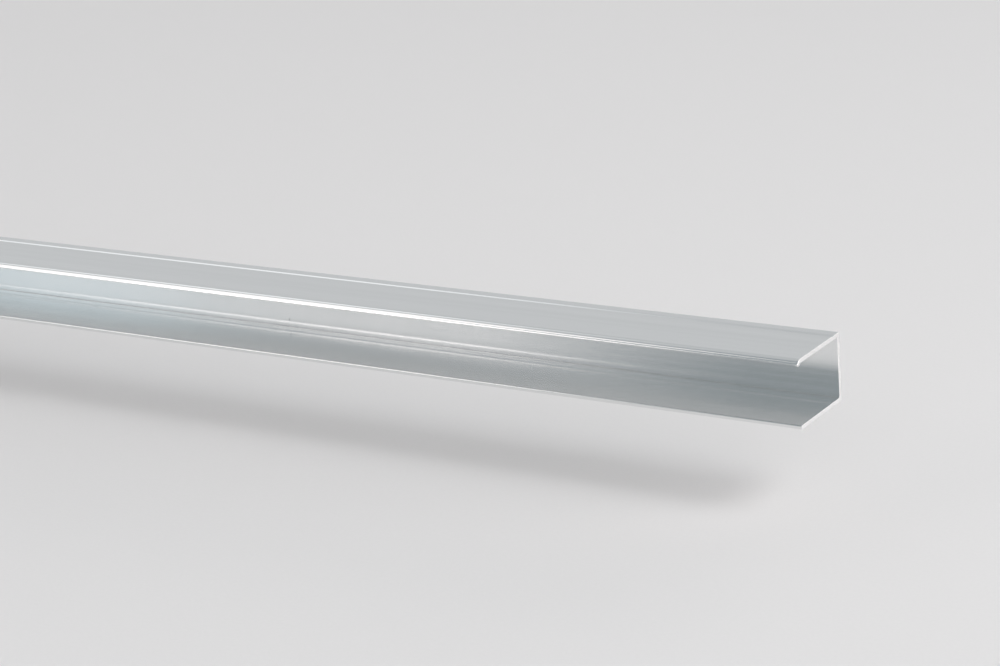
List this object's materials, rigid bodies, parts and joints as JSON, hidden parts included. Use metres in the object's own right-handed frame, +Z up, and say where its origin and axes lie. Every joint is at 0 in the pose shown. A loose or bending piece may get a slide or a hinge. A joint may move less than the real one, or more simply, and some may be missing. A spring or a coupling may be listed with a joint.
{
  "type": "extruded U channel",
  "caption": "Thin-wall extruded U channel with a turned-down lip, for capping the edge of a 16 mm sheet.",
  "frame": {"origin": "middle of the length and depth, on the lower flange's outer face", "axes": "X along the length, -Y out of the open side, +Y towards the web, +Z up through both flanges"},
  "size_m": [1, 0.0256, 0.02],
  "materials": {
    "profile": "mill finish, saw-cut ends"
  },
  "bodies": {
    "root": {"profile": "profile"}
  },
  "joints": []
}
